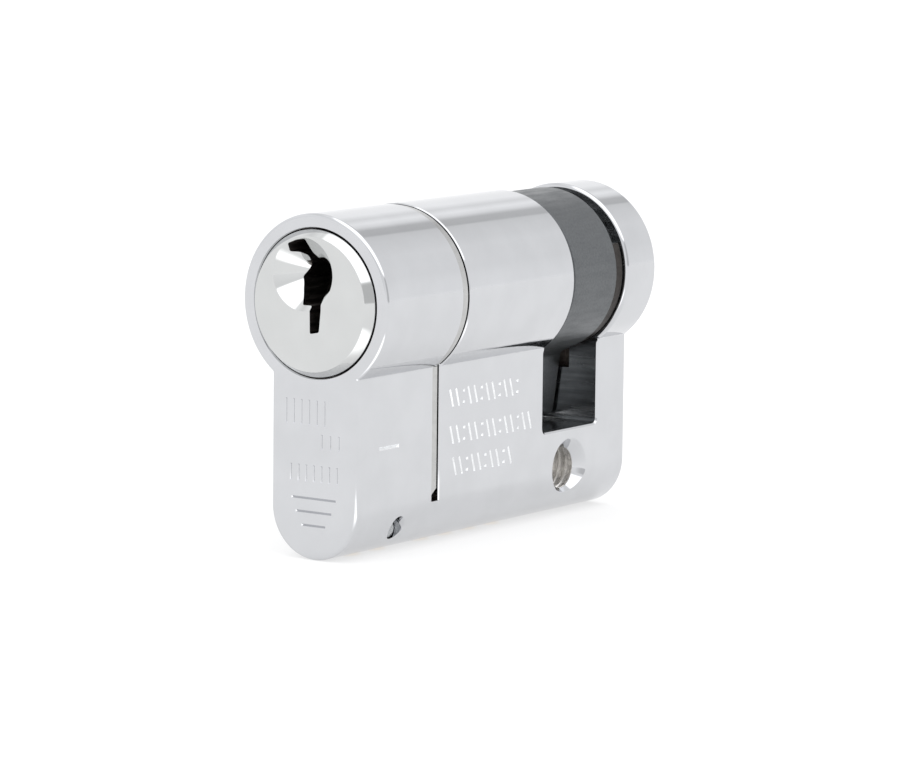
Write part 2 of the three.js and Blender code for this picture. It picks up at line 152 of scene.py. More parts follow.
EDGE = 0.35  # rounding of the body's end edges
PAST = 1.0  # how far a cutting tool runs past the surface that it opens
HAIR = 0.01  # keeps two tool faces apart, and counts as touching a surface
FINE = 240  # points round a large circle
SMALL = 64  # points round a pin

# ---- mesh tools -----------------------------------------------------------------------------------------


def mesh_object(name, points, faces):
    mesh = bpy.data.meshes.new(name)
    mesh.from_pydata([tuple(p) for p in points], [], faces)
    bm = bmesh.new()
    bm.from_mesh(mesh)
    bmesh.ops.remove_doubles(bm, verts=bm.verts, dist=1e-5)
    bmesh.ops.recalc_face_normals(bm, faces=bm.faces)
    bm.to_mesh(mesh)
    bm.free()
    obj = bpy.data.objects.new(name, mesh)
    bpy.context.scene.collection.objects.link(obj)
    return obj


def skin(name, rings, closed=False):
    """A solid through a row of rings of equal length, capped at its ends or closed on itself."""
    count = len(rings[0])
    points = [p for ring in rings for p in ring]
    faces = []
    pairs = len(rings) if closed else len(rings) - 1
    for i in range(pairs):
        a, b = i * count, ((i + 1) % len(rings)) * count
        for j in range(count):
            k = (j + 1) % count
            faces.append((a + j, a + k, b + k, b + j))
    if not closed:
        last = (len(rings) - 1) * count
        faces.append(tuple(range(count)))
        faces.append(tuple(range(last, last + count)))
    return mesh_object(name, points, faces)


def circle(radius, height, axis="Y", at=(0, 0, 0), count=FINE):
    ring = []
    for i in range(count):
        angle = 2 * math.pi * i / count
        c, s = radius * math.cos(angle), radius * math.sin(angle)
        local = {"X": (height, c, s), "Y": (c, height, s), "Z": (c, s, height)}[axis]
        ring.append(Vector(local) + Vector(at))
    return ring


def turned(name, profile, axis="Y", at=(0, 0, 0), count=FINE, closed=False):
    """A body of revolution from its (radius, height) pairs."""
    return skin(name, [circle(r, h, axis, at, count) for r, h in profile], closed)


def extruded(name, outline, low, high, axis="Y"):
    """An outline of (u, v) pairs carried along an axis: (x, z) along Y, (y, z) along X, (x, y) along Z."""

    def place(u, v, h):
        return Vector({"X": (h, u, v), "Y": (u, h, v), "Z": (u, v, h)}[axis])

    return skin(name, [[place(u, v, h) for u, v in outline] for h in (low, high)])


def block(name, low, high):
    outline = [(low[0], low[2]), (high[0], low[2]), (high[0], high[2]), (low[0], high[2])]
    return extruded(name, outline, low[1], high[1])


def arc(cx, cz, radius, start, end, steps):
    """Points of an arc, with its angles in degrees."""
    angles = [math.radians(start + (end - start) * i / steps) for i in range(steps + 1)]
    return [(cx + radius * math.cos(a), cz + radius * math.sin(a)) for a in angles]


def rounded(corners, radius, steps=6):
    """The polygon with its corners filleted by quadratic curves."""
    points = []
    count = len(corners)
    for i, corner in enumerate(corners):
        here = Vector(corner)
        before, after = Vector(corners[i - 1]), Vector(corners[(i + 1) % count])
        back, ahead = before - here, after - here
        reach = min(radius, 0.45 * back.length, 0.45 * ahead.length)
        p, q = here + back.normalized() * reach, here + ahead.normalized() * reach
        for k in range(steps + 1):
            t = k / steps
            points.append(tuple(p * (1 - t) ** 2 + here * 2 * t * (1 - t) + q * t ** 2))
    return points


def combine(target, *tools, operation="DIFFERENCE"):
    """Cuts (or joins) tools from the target one by one, and deletes them."""
    for tool in tools:
        modifier = target.modifiers.new("combine", "BOOLEAN")
        modifier.operation = operation
        modifier.solver = "MANIFOLD"
        modifier.object = tool
        graph = bpy.context.evaluated_depsgraph_get()
        mesh = bpy.data.meshes.new_from_object(target.evaluated_get(graph))
        target.modifiers.clear()
        target.data = mesh
        target.data.materials.clear()
        bpy.data.objects.remove(tool)
    return target


def merged(name, objects):
    """Several separate solids as one mesh, for one cut."""
    bm = bmesh.new()
    for obj in objects:
        bm.from_mesh(obj.data)
        bpy.data.objects.remove(obj)
    mesh = bpy.data.meshes.new(name)
    bm.to_mesh(mesh)
    bm.free()
    joined = bpy.data.objects.new(name, mesh)
    bpy.context.scene.collection.objects.link(joined)
    return joined


def body_skin_normals(points):
    """Outward normals of the euro profile with its rounded end edges, and which points lie on it."""
    x, y, z = points[:, 0], points[:, 1], points[:, 2]
    centre = np.where(z > SHOULDER_Z, 0.0, FOOT_CENTRE)
    radial = np.stack([x, np.zeros_like(x), z - centre], axis=1)
    radius = np.linalg.norm(radial, axis=1)
    radial /= np.maximum(radius, 1e-9)[:, None]
    depth = np.where(z > SHOULDER_Z, HEAD_R - radius, WEB - radius)
    web = (z <= SHOULDER_Z) & (z > FOOT_CENTRE)
    radial[web] = np.stack([np.sign(x[web]), np.zeros(web.sum()), np.zeros(web.sum())], axis=1)
    depth = np.where(web, WEB - np.abs(x), depth)
    side = np.clip(EDGE - depth, 0, EDGE)
    front = np.clip(EDGE - (y - FRONT_Y), 0, EDGE)
    rear = np.clip(EDGE - (REAR_Y - y), 0, EDGE)
    found = radial * side[:, None]
    found[:, 1] += rear - front
    length = np.linalg.norm(found, axis=1)
    on = (np.abs(length - EDGE) < HAIR) & (depth > -HAIR)
    return found / np.maximum(length, 1e-9)[:, None], on


def shade(obj, cylinders=(), skin_normals=None, crease=28):
    """True normals: flat on the main planes, radial on the listed cylinders, the given ones on the
    outer skin, and smooth up to the crease elsewhere. A cylinder is (axis, its two centre coordinates,
    radius)."""
    mesh = obj.data
    mesh.polygons.foreach_set("use_smooth", [True] * len(mesh.polygons))
    mesh.set_sharp_from_angle(angle=math.radians(crease))
    loops = len(mesh.loops)
    normals = np.zeros(loops * 3)
    mesh.corner_normals.foreach_get("vector", normals)
    normals = normals.reshape(-1, 3)
    points = np.zeros(len(mesh.vertices) * 3)
    mesh.vertices.foreach_get("co", points)
    corners = np.zeros(loops, int)
    mesh.loops.foreach_get("vertex_index", corners)
    points = points.reshape(-1, 3)[corners]
    face_normals = np.zeros(len(mesh.polygons) * 3)
    mesh.polygons.foreach_get("normal", face_normals)
    sizes = np.zeros(len(mesh.polygons), int)
    mesh.polygons.foreach_get("loop_total", sizes)
    face_normals = np.repeat(face_normals.reshape(-1, 3), sizes, axis=0)
    flat = np.abs(face_normals).max(axis=1) > 0.99999
    normals[flat] = face_normals[flat]
    for axis, first, second, radius in cylinders:
        u, v = {"X": (1, 2), "Y": (0, 2), "Z": (0, 1)}[axis]
        radial = np.zeros_like(points)
        radial[:, u] = points[:, u] - first
        radial[:, v] = points[:, v] - second
        distance = np.linalg.norm(radial, axis=1)
        radial /= np.maximum(distance, 1e-9)[:, None]
        along = (radial * face_normals).sum(axis=1)
        on = (np.abs(distance - radius) < HAIR) & (np.abs(along) > 0.995) & ~flat
        normals[on] = radial[on] * np.sign(along[on])[:, None]
    if skin_normals is not None:
        true, on = skin_normals(points)
        on &= (true * face_normals).sum(axis=1) > 0.97
        normals[on] = true[on]
    mesh.normals_split_custom_set(normals)
    return obj


# ---- materials ------------------------------------------------------------------------------------------


class Finish:
    """A metal finish: one colour, with noise in its colour, its roughness and its surface."""

    def __init__(self, name, colour, metallic, roughness):
        self.material = bpy.data.materials.new(name)
        self.material.use_nodes = True
        self.tree = self.material.node_tree
        self.shader = self.tree.nodes["Principled BSDF"]
        self.shader.inputs["Metallic"].default_value = metallic
        self.shader.inputs["Roughness"].default_value = roughness
        self.shader.inputs["Base Color"].default_value = (*colour, 1)
        self.colour = colour
        self.roughness = roughness
        self.where = self.tree.nodes.new("ShaderNodeTexCoord").outputs["Object"]
        self.height = None

    def noise(self, scale, detail=3.0, stretch=(1, 1, 1), seed=0.0):
        """Noise in the object's own coordinates, with about `scale` grains to a millimetre."""
        mapping = self.tree.nodes.new("ShaderNodeMapping")
        mapping.inputs["Scale"].default_value = [scale / MM * s for s in stretch]
        mapping.inputs["Location"].default_value = (seed, seed * 0.7, seed * 1.3)
        self.tree.links.new(self.where, mapping.inputs["Vector"])
        noise = self.tree.nodes.new("ShaderNodeTexNoise")
        noise.inputs["Scale"].default_value = 1.0
        noise.inputs["Detail"].default_value = detail
        self.tree.links.new(mapping.outputs["Vector"], noise.inputs["Vector"])
        return noise.outputs["Fac"]

    def ramp(self, value, low, high, at=(0.35, 0.65)):
        """The value spread from colour (or grey) `low` to `high`."""
        ramp = self.tree.nodes.new("ShaderNodeValToRGB")
        for element, place, tone in zip(ramp.color_ramp.elements, at, (low, high)):
            element.position = place
            element.color = (*tone, 1) if hasattr(tone, "__len__") else (tone, tone, tone, 1)
        self.tree.links.new(value, ramp.inputs["Fac"])
        return ramp.outputs["Color"]

    def mottle(self, value, spread, at=(0.35, 0.65)):
        """Colour that wanders by a share `spread` either side of the base colour."""
        low = [c * (1 - spread) for c in self.colour]
        high = [min(1.0, c * (1 + spread)) for c in self.colour]
        self.tree.links.new(self.ramp(value, low, high, at), self.shader.inputs["Base Color"])
        return self

    def polish(self, value, low, high, at=(0.35, 0.65)):
        """Roughness that wanders from low to high."""
        self.tree.links.new(self.ramp(value, low, high, at), self.shader.inputs["Roughness"])
        return self

    def relief(self, value, depth, strength=1.0):
        """Bumps of about `depth` millimetres; several calls stack."""
        bump = self.tree.nodes.new("ShaderNodeBump")
        bump.inputs["Strength"].default_value = strength
        bump.inputs["Distance"].default_value = depth * MM
        self.tree.links.new(value, bump.inputs["Height"])
        if self.height is not None:
            self.tree.links.new(self.height, bump.inputs["Normal"])
        self.height = bump.outputs["Normal"]
        self.tree.links.new(self.height, self.shader.inputs["Normal"])
        return self


def chrome_finish(name, colour=(0.597, 0.604, 0.621), rough=(0.045, 0.08)):
    """Bright polished chrome: faint polishing waves, a few hairline scratches, thin smudges."""
    made = Finish(name, colour, 1.0, rough[0])
    made.mottle(made.noise(0.25, seed=3), 0.02)
    made.polish(made.noise(0.18, detail=5, seed=8), *rough)
    made.relief(made.noise(0.22, detail=1, seed=1), 0.0025, 0.6)
    made.relief(made.ramp(made.noise(1.6, stretch=(1, 0.04, 1), seed=5), 0, 1, (0.70, 0.74)), 0.0008, 0.5)
    return made.material


chrome = chrome_finish("bright_chrome")
plug_chrome = chrome_finish("plug_chrome", colour=(0.603, 0.611, 0.609), rough=(0.04, 0.075))

machined = Finish("machined_slot_wall", (0.47, 0.48, 0.49), 1.0, 0.2)
machined.mottle(machined.noise(2.0, stretch=(0.08, 0.08, 1)), 0.22)
machined.polish(machined.noise(1.2, stretch=(0.1, 0.1, 1), seed=4), 0.14, 0.3)
machined.relief(machined.noise(3.0, stretch=(0.05, 0.05, 1), seed=2), 0.01, 0.5)

sintered = Finish("sintered_steel", (0.135, 0.142, 0.148), 0.9, 0.5)
sintered.mottle(sintered.noise(5.0, detail=4), 0.10)
sintered.polish(sintered.noise(1.6, stretch=(1, 0.2, 1), detail=4, seed=7), 0.34, 0.48)
sintered.relief(sintered.noise(8.0, detail=3, seed=2), 0.002, 0.5)
sintered.relief(sintered.noise(3.0, stretch=(1, 0.1, 1), detail=2, seed=6), 0.004, 0.4)

# Painted shade: a finish darker than the sintered steel, for the cam's rear rim in its gap before the rear
# head.
rim_painted_shade = Finish("cam_rim_painted_shade", (0.046, 0.041, 0.038), 0.9, 0.45)
rim_painted_shade.mottle(rim_painted_shade.noise(2.0, seed=4), 0.15)
rim_painted_shade.polish(rim_painted_shade.noise(3.0, seed=6), 0.38, 0.5)
rim_painted_shade.relief(rim_painted_shade.noise(6.0, seed=2), 0.002, 0.4)

hardened = Finish("hardened_steel", (0.42, 0.43, 0.44), 1.0, 0.3)
hardened.mottle(hardened.noise(3.0, stretch=(1, 1, 4)), 0.15)
hardened.polish(hardened.noise(2.0, stretch=(1, 1, 3), seed=3), 0.22, 0.4)
hardened.relief(hardened.noise(5.0, stretch=(1, 1, 5), seed=5), 0.006, 0.5)

spring_steel = Finish("spring_steel", (0.55, 0.56, 0.58), 1.0, 0.25)
spring_steel.mottle(spring_steel.noise(4.0), 0.1)
spring_steel.polish(spring_steel.noise(6.0, seed=2), 0.2, 0.34)

black_steel = Finish("black_spring_steel", (0.03, 0.031, 0.033), 0.8, 0.42)
black_steel.mottle(black_steel.noise(5.0), 0.3)
black_steel.polish(black_steel.noise(3.0, seed=2), 0.34, 0.52)
black_steel.relief(black_steel.noise(8.0, seed=4), 0.005, 0.5)

brass = Finish("pin_brass", (0.72, 0.50, 0.20), 1.0, 0.24)
brass.mottle(brass.noise(1.5, detail=4), 0.12)
brass.polish(brass.noise(2.5, stretch=(1, 1, 4), seed=3), 0.18, 0.36)
brass.relief(brass.noise(6.0, stretch=(1, 1, 8), seed=6), 0.005, 0.5)

turned_strip = Finish("turned_strip", (0.50, 0.50, 0.495), 1.0, 0.2)
turned_strip.mottle(turned_strip.noise(1.5, seed=4), 0.05)
turned_strip.polish(turned_strip.noise(3.0, stretch=(0.2, 1, 0.2), seed=6), 0.15, 0.26)
turned_strip.relief(turned_strip.noise(6.0, stretch=(0.05, 1, 0.05), seed=2), 0.002, 0.4)

# Painted light: the thread's finish is brighter than the plating and partly diffuse, to light the inside of
# the screw hole.
thread_painted_light = Finish("thread_painted_light", (0.90, 0.885, 0.865), 0.8, 0.2)
thread_painted_light.mottle(thread_painted_light.noise(2.0, seed=4), 0.06)
thread_painted_light.polish(thread_painted_light.noise(3.0, seed=6), 0.12, 0.2)
thread_painted_light.relief(thread_painted_light.noise(2.0, seed=2), 0.0005, 0.3)

# Painted highlight: the stamped marks are brighter than the plating, for the light that their walls catch.
stamped = Finish("stamped_mark_painted_highlight", (0.86, 0.87, 0.88), 1.0, 0.18)
stamped.mottle(stamped.noise(2.0, seed=4), 0.06)
stamped.polish(stamped.noise(3.0, seed=6), 0.12, 0.3)
stamped.relief(stamped.noise(4.0, seed=2), 0.002, 0.4)

# Painted shade: a dark finish for the keyway walls, the flange side, the seat, the relief pocket and the
# snap pocket's foot; on the keyway walls it is partly the broached steel's own colour.
keyway_painted_shade = Finish("broached_keyway_painted_shade", (0.17, 0.155, 0.145), 1.0, 0.34)
keyway_painted_shade.mottle(keyway_painted_shade.noise(3.0, stretch=(1, 0.06, 1)), 0.3)
keyway_painted_shade.polish(keyway_painted_shade.noise(3.0, stretch=(1, 0.08, 1), seed=2), 0.28, 0.5)
keyway_painted_shade.relief(keyway_painted_shade.noise(5.0, stretch=(1, 0.04, 1), seed=5), 0.02, 0.6)

# ---- cylinder body --------------------------------------------------------------------------------------


def profile_ring(y, inset):
    """The euro profile at one height, moved inwards by `inset`."""
    reach = WEB + SHOULDER_FILLET
    centre_z = -math.sqrt((HEAD_R + SHOULDER_FILLET) ** 2 - reach ** 2)
    toward_axis = math.degrees(math.atan2(-centre_z, -reach))
    start = math.degrees(math.atan2(centre_z, reach))
    fillet = SHOULDER_FILLET + inset
    runs = [
        arc(0, FOOT_CENTRE, WEB - inset, 180, 360, 90),
        arc(reach, centre_z, fillet, 180, toward_axis, 5)[:-1],
        arc(0, 0, HEAD_R - inset, start, 180 - start, FINE),
        arc(-reach, centre_z, fillet, 180 - toward_axis, 0, 5)[1:],
    ]
    return [Vector((x, y, z)) for run in runs for x, z in run]


def body_blank():
    steps = 6
    rings = []
    for i in range(steps + 1):
        t = math.pi / 2 * i / steps
        rings.append(profile_ring(FRONT_Y + EDGE * (1 - math.cos(t)), EDGE * (1 - math.sin(t))))
    stations = 20
    for i in range(1, stations):
        rings.append(profile_ring(FRONT_Y + EDGE + (REAR_Y - FRONT_Y - 2 * EDGE) * i / stations, 0))
    for i in range(steps, -1, -1):
        t = math.pi / 2 * i / steps
        rings.append(profile_ring(REAR_Y - EDGE * (1 - math.cos(t)), EDGE * (1 - math.sin(t))))
    return skin("cylinder_body_plated", rings)


def bore_tool():
    lip = 0.12
    return turned("bore_tool", [
        (SEAT_R + lip + PAST, FRONT_Y - PAST),
        (SEAT_R + lip, FRONT_Y),
        (SEAT_R, FRONT_Y + lip),
        (SEAT_R, FRONT_Y + SEAT_DEPTH),
        (BORE_R + lip, FRONT_Y + SEAT_DEPTH),
        (BORE_R, FRONT_Y + SEAT_DEPTH + lip),
        (BORE_R, SLOT_HALF + STUB_BORE),
    ])


def head_only(ring_tool):
    """What of a ring tool lies above the shoulders."""
    far = HEAD_R + 2 * PAST
    above = block("above", (-far, FRONT_Y, SHOULDER_Z), (far, REAR_Y, far))
    return combine(ring_tool, above, operation="INTERSECT")


def rounding(radius, height, size, steps=5):
    """(radius, height) points round an outer corner, from the flat at `height` to the wall at `radius`."""
    points = []
    for i in range(steps + 1):
        t = math.pi / 2 * i / steps
        points.append((radius - abs(size) * (1 - math.sin(t)), height + size * (1 - math.cos(t))))
    return points


def slot_tools():
    half, floor = SLOT_HALF, SLOT_FLOOR
    far = HEAD_R + PAST
    outline = rounded([(-half, far), (-half, floor), (half, floor), (half, far)], SLOT_CORNER)
    through = extruded("slot_tool", outline, -far, far, axis="X")
    chamfer = 0.16
    flares = []
    for side in (-1, 1):
        rings = []
        for reach, grow in ((WEB - chamfer, 0), (WEB + PAST, chamfer + PAST)):
            corners = [
                (-half - grow, SHOULDER_Z),
                (-half - grow, floor - grow),
                (half + grow, floor - grow),
                (half + grow, SHOULDER_Z),
            ]
            ring = rounded(corners, SLOT_CORNER + grow)
            rings.append([Vector((side * reach, y, z)) for y, z in ring])
        flares.append(skin("slot_flare", rings))
    front_lip, rear_lip = 0.12, 0.38
    lip = turned("slot_lip", [
        *rounding(HEAD_R, -half, -front_lip),
        (HEAD_R + PAST, -half - front_lip),
        (HEAD_R + PAST, half + rear_lip),
        *rounding(HEAD_R, half, rear_lip)[::-1],
    ], closed=True)
    return [through, *flares, head_only(lip)]


def snap_tools():
    cut_front = SNAP_REAR - SNAP_CUT
    step_front = cut_front - SNAP_STEP
    top = SHOULDER_Z + 0.2
    slabs, flares = [], []
    for side in (-1, 1):
        outer = side * (WEB + PAST)
        deep = side * (WEB - SNAP_WEB_DEPTH)
        shallow = side * (WEB - SNAP_STEP_DEPTH)
        pocket_top = SNAP_BOTTOM + SNAP_POCKET_TALL
        pocket_front = SNAP_REAR - SNAP_POCKET
        slabs.append((shallow, outer, step_front, SNAP_REAR - HAIR, SNAP_BOTTOM + 2 * HAIR, top))
        slabs.append((deep, outer, cut_front, SNAP_REAR, SNAP_BOTTOM, top))
        slabs.append((deep, outer, pocket_front, SNAP_REAR + HAIR, SNAP_BOTTOM - HAIR, pocket_top))
        flares.append(extruded("snap_flare", [
            (pocket_front, pocket_top - 2 * HAIR),
            (SNAP_REAR + HAIR / 2, pocket_top - 2 * HAIR),
            (SNAP_REAR + HAIR / 2, pocket_top + SNAP_FLARE),
            (SNAP_REAR - SNAP_CUT - 2 * HAIR, pocket_top + SNAP_FLARE),
        ], min(deep, outer) + HAIR, max(deep, outer) + HAIR, axis="X"))
    tools = flares
    for x0, x1, y0, y1, z0, z1 in slabs:
        tools.append(block("snap_slab", (min(x0, x1), y0, z0), (max(x0, x1), y1, z1)))
    far = HEAD_R + PAST
    for inner, front, rear in (
        (HEAD_R - SNAP_HEAD_DEPTH, cut_front, SNAP_REAR),
        (HEAD_R - SNAP_STEP_DEPTH, step_front, SNAP_REAR - HAIR),
    ):
        ring = turned("snap_ring", [(inner, front), (far, front), (far, rear), (inner, rear)], closed=True)
        tools.append(head_only(ring))
    lip = 0.11
    rim = turned("snap_lip", [
        (HEAD_R - lip, SNAP_REAR - 2 * HAIR),
        (far, SNAP_REAR - 2 * HAIR),
        (far, SNAP_REAR + PAST + lip),
        (HEAD_R - lip, SNAP_REAR + HAIR),
    ], closed=True)
    tools.append(head_only(rim))
    for side in (-1, 1):
        corners = [
            (WEB - lip, SNAP_REAR - 2 * HAIR),
            (WEB - lip, SNAP_REAR + HAIR),
            (WEB + PAST, SNAP_REAR + PAST + lip),
            (WEB + PAST, SNAP_REAR - 2 * HAIR),
        ]
        wedge = [(side * x, y) for x, y in corners]
        tools.append(extruded("snap_wedge", wedge, SNAP_BOTTOM, top, axis="Z"))
    return tools


def screw_tools():
    """The M5 hole: its core, its countersunk mouths, and the thread."""
    mouth = SCREW_MOUTH_DEPTH
    profile = [
        (SCREW_MOUTH_R + PAST, -WEB - PAST),
        (SCREW_MOUTH_R, -WEB),
        (SCREW_MOUTH_R - 0.18, -WEB + 0.12),
        (SCREW_MINOR_R, mouth - WEB),
        (SCREW_MINOR_R, WEB - mouth),
        (SCREW_MOUTH_R - 0.18, WEB - 0.12),
        (SCREW_MOUTH_R, WEB),
        (SCREW_MOUTH_R + PAST, WEB + PAST),
    ]
    core = turned("screw_core", profile, axis="X", at=(0, 0, SCREW_Z), count=96)
    turn_steps = 40
    turns = int(2 * (WEB - mouth) / SCREW_PITCH)
    root, crest, sunk = 0.39, 0.06, 0.2  # half widths of the thread's groove, and how far it starts inside
    section = [
        (SCREW_MINOR_R - sunk, -root),
        (SCREW_MAJOR_R, -crest),
        (SCREW_MAJOR_R, crest),
        (SCREW_MINOR_R - sunk, root),
    ]
    rings = []
    for i in range(turns * turn_steps + 1):
        angle = 2 * math.pi * i / turn_steps
        along = -turns * SCREW_PITCH / 2 + SCREW_PITCH * i / turn_steps
        c, s = math.cos(angle), math.sin(angle)
        rings.append([Vector((along + h, r * c, SCREW_Z + r * s)) for r, h in section])
    return [core, skin("screw_thread", rings)]


def tick(centre, along, across, out, width=0.26, depth=0.13):
    """A V-shaped stamped line: `along` is half of its length, as a vector in the face."""
    centre, along, out = Vector(centre), Vector(along), Vector(out)
    side = Vector(across).normalized() * width / 2
    end = along.normalized() * width / 2
    lift = 0.6
    wide = 1 + lift
    above = out * depth * lift
    points = [
        centre + along + end * lift + side * wide + above,
        centre + along + end * lift - side * wide + above,
        centre - along - end * lift - side * wide + above,
        centre - along - end * lift + side * wide + above,
        centre + along - end - out * depth,
        centre - along + end - out * depth,
    ]
    faces = [(0, 1, 2, 3), (0, 4, 1), (2, 5, 3), (1, 4, 5, 2), (3, 5, 4, 0)]
    return mesh_object("tick", points, faces)


def side_marks():
    """Three plain rows of strokes and dashes, and a single bar, on the right side of the web."""
    out = (1, 0, 0)
    slant = 0.25
    spacing = 1.02
    dash = (0, 0.2, 0)
    # The front end, rear end, foot and top of each row.
    rows = ((-20.6, -9.4, -11.3, -9.1), (-20.5, -7.2, -14.9, -12.7), (-20.0, -10.6, -18.0, -15.8))
    marks = []
    for first, last, low, high in rows:
        count = round((last - first) / spacing)
        half = (high - low) / 2
        middle = (high + low) / 2
        lean = slant * half
        stroke = (0, lean, -half * 0.8)
        for i in range(count + 1):
            y = first + (last - first) * i / count
            if i % 3 == 2:
                for z in (middle - 0.5 * half, middle + 0.5 * half):
                    marks.append(tick((WEB, y, z), dash, (0, 0, 1), out, width=0.27, depth=0.14))
            else:
                marks.append(tick((WEB, y, middle), stroke, (0, half, lean), out, width=0.27, depth=0.14))
    marks.append(tick((WEB, -30.8, -13.8), (0, 1.6, 0), (0, 0, 1), out, width=0.36, depth=0.16))
    return merged("side_marks", marks)


def front_marks():
    """Plain rows of ticks and bars down the front face of the web."""
    out = (0, -1, 0)
    # The left end, right end, number of ticks, foot and top of each row.
    rows = ((-3.3, 1.2, 6, -11.6, -9.2), (0.9, 2.9, 3, -13.8, -12.4), (-2.7, 2.7, 7, -17.0, -15.4))
    marks = []
    for x0, x1, count, low, high in rows:
        middle, half = (low + high) / 2, (high - low) / 2
        for i in range(count):
            x = x0 + (x1 - x0) * i / (count - 1)
            marks.append(tick((x, FRONT_Y, middle), (0, 0, half), (1, 0, 0), out, width=0.24))
    for z, half in ((-18.6, 2.6), (-19.9, 2.1), (-21.2, 1.4)):
        marks.append(tick((0, FRONT_Y, z), (half, 0, 0), (0, 0, 1), out, width=0.24))
    return merged("front_marks", marks)


chamber_y = {}  # where each pin stack stands along the plug
for stack in STACKS:
    low, high = extent(f"driver_pin_{stack}")
    chamber_y[stack] = round((low.y + high.y) / 2, 2)


def body():
    made = body_blank()
    combine(made, bore_tool())
    combine(made, *slot_tools())
    relief = block("stub_relief", (0, 0, RELIEF_FOOT), (RELIEF, SLOT_HALF + RELIEF, -BORE_R + PAST))
    combine(made, relief, *snap_tools(), *screw_tools())
    lip = 0.12
    chamber = [
        (CHAMBER_R + lip + PAST, FOOT_Z - PAST),
        (CHAMBER_R + lip, FOOT_Z),
        (CHAMBER_R, FOOT_Z + lip),
        (CHAMBER_R, 0),
    ]
    guard_hole = [(BODY_GUARD_R, BODY_GUARD_FOOT), (BODY_GUARD_R, BODY_GUARD_TOP)]
    foot_hole = [(FOOT_HOLE_R, FOOT_HOLE_END), (FOOT_HOLE_R, WEB - 1.0), (FOOT_HOLE_MOUTH_R, WEB)]
    drilled = []
    for y in chamber_y.values():
        drilled.append(turned("chamber", chamber, axis="Z", at=(0, y, 0), count=SMALL))
    for x in (-BODY_GUARD_X, BODY_GUARD_X):
        drilled.append(turned("guard_hole", guard_hole, axis="Z", at=(x, BODY_GUARD_Y, 0), count=32))
    foot_at = (0, FOOT_HOLE_Y, FOOT_HOLE_Z)
    drilled.append(turned("foot_pocket", foot_hole, axis="X", at=foot_at, count=SMALL))
    combine(made, merged("holes", drilled), side_marks(), front_marks())
    holes = [("Z", 0, y, CHAMBER_R) for y in chamber_y.values()]
    cylinders = [
        ("Y", 0, 0, SEAT_R),
        ("Y", 0, 0, BORE_R),
        ("Y", 0, 0, HEAD_R - SNAP_HEAD_DEPTH),
        ("Y", 0, 0, HEAD_R - SNAP_STEP_DEPTH),
        ("X", 0, SCREW_Z, SCREW_MINOR_R),
        *holes,
    ]
    return shade(made, cylinders, body_skin_normals)


MACHINED, PAINTED_SHADE, STRIP, THREAD_PAINTED_LIGHT, STAMPED_PAINTED_HIGHLIGHT = range(1, 6)  # the body's material slots; 0 is its plating


def paint_body(obj):
    """Gives each part its slot: the unplated slot walls and turned strip their own finishes, the pockets and
    seat a dark slot of painted shade, the thread a bright slot of painted light and the marks a bright slot
    of painted highlight.
    """
    for finish in (machined, keyway_painted_shade, turned_strip, thread_painted_light, stamped):
        obj.data.materials.append(finish.material)
    in_slot = SLOT_HALF + 0.02
    for polygon in obj.data.polygons:
        c, n = polygon.center, polygon.normal
        radius = math.hypot(c.x, c.z)
        skin_gap = HEAD_R - radius if c.z > SHOULDER_Z else WEB - abs(c.x)
        wall = abs(abs(c.y) - SLOT_HALF) < 0.02 and abs(n.y) > 0.99
        floor = abs(c.y) < in_slot and abs(c.z - SLOT_FLOOR) < SLOT_CORNER + 0.02 and n.z > 0.02
        if skin_gap > 0.15 and (wall or floor):
            polygon.material_index = MACHINED
        # Painted shade: the relief pocket, the seat wall and the foot of the snap pocket take the dark
        # keyway finish.
        in_relief = -HAIR < c.x < RELIEF + HAIR and SLOT_HALF < c.y < SLOT_HALF + RELIEF + HAIR
        in_relief = in_relief and RELIEF_FOOT - HAIR < c.z < -BORE_R + PAST + 0.05
        in_seat = abs(radius - SEAT_R) < 0.02 and c.y > FRONT_Y + 0.2 and abs(n.y) < 0.1
        in_cut = SNAP_REAR - SNAP_POCKET - 0.02 < c.y < SNAP_REAR + 0.02 and c.z > SNAP_BOTTOM - 0.02
        in_cut = in_cut and (abs(c.x) > 3.0 or c.z > 0) and skin_gap > SNAP_STEP_DEPTH + 0.03
        if in_relief or in_seat or (in_cut and c.z < SNAP_BOTTOM + SNAP_POCKET_TALL + 0.05):
            polygon.material_index = PAINTED_SHADE
        elif in_cut:
            polygon.material_index = MACHINED
        in_strip = SNAP_REAR - SNAP_CUT - SNAP_STEP - 0.02 < c.y < SNAP_REAR - SNAP_CUT + 0.02
        if in_strip and abs(skin_gap - SNAP_STEP_DEPTH) < 0.03 and c.z > SNAP_BOTTOM and abs(n.y) < 0.1:
            polygon.material_index = STRIP
        # Painted light: the thread takes a finish brighter than the plating.
        in_hole = math.hypot(c.y, c.z - SCREW_Z) < SCREW_MAJOR_R + 0.02
        if in_hole and abs(c.x) < WEB - SCREW_MOUTH_DEPTH + 0.1:
            polygon.material_index = THREAD_PAINTED_LIGHT
        # Painted highlight: the stamped marks take a finish brighter than the plating.
        marked = -33 < c.y < -6.5 and -18.5 < c.z < -8.5 and c.x > WEB - 0.3 and abs(n.x) < 0.98
        if marked and not SNAP_REAR - SNAP_POCKET - 0.3 < c.y < SNAP_REAR + 0.2:
            polygon.material_index = STAMPED_PAINTED_HIGHLIGHT


body_obj = body()
body_obj.data.materials.append(chrome)
paint_body(body_obj)


def hand_over(obj, body_name, replaced, material=None):
    """Scales a piece built in millimetres to metres, gives it its finish, and hands it to the frame."""
    obj.data.transform(Matrix.Scale(MM, 4))
    if material is not None:
        obj.data.materials.clear()
        obj.data.materials.append(material)
    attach(obj, body_name)
    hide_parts(replaced)
    return obj


hand_over(body_obj, "housing", "cylinder_body")

# ---- plug -----------------------------------------------------------------------------------------------


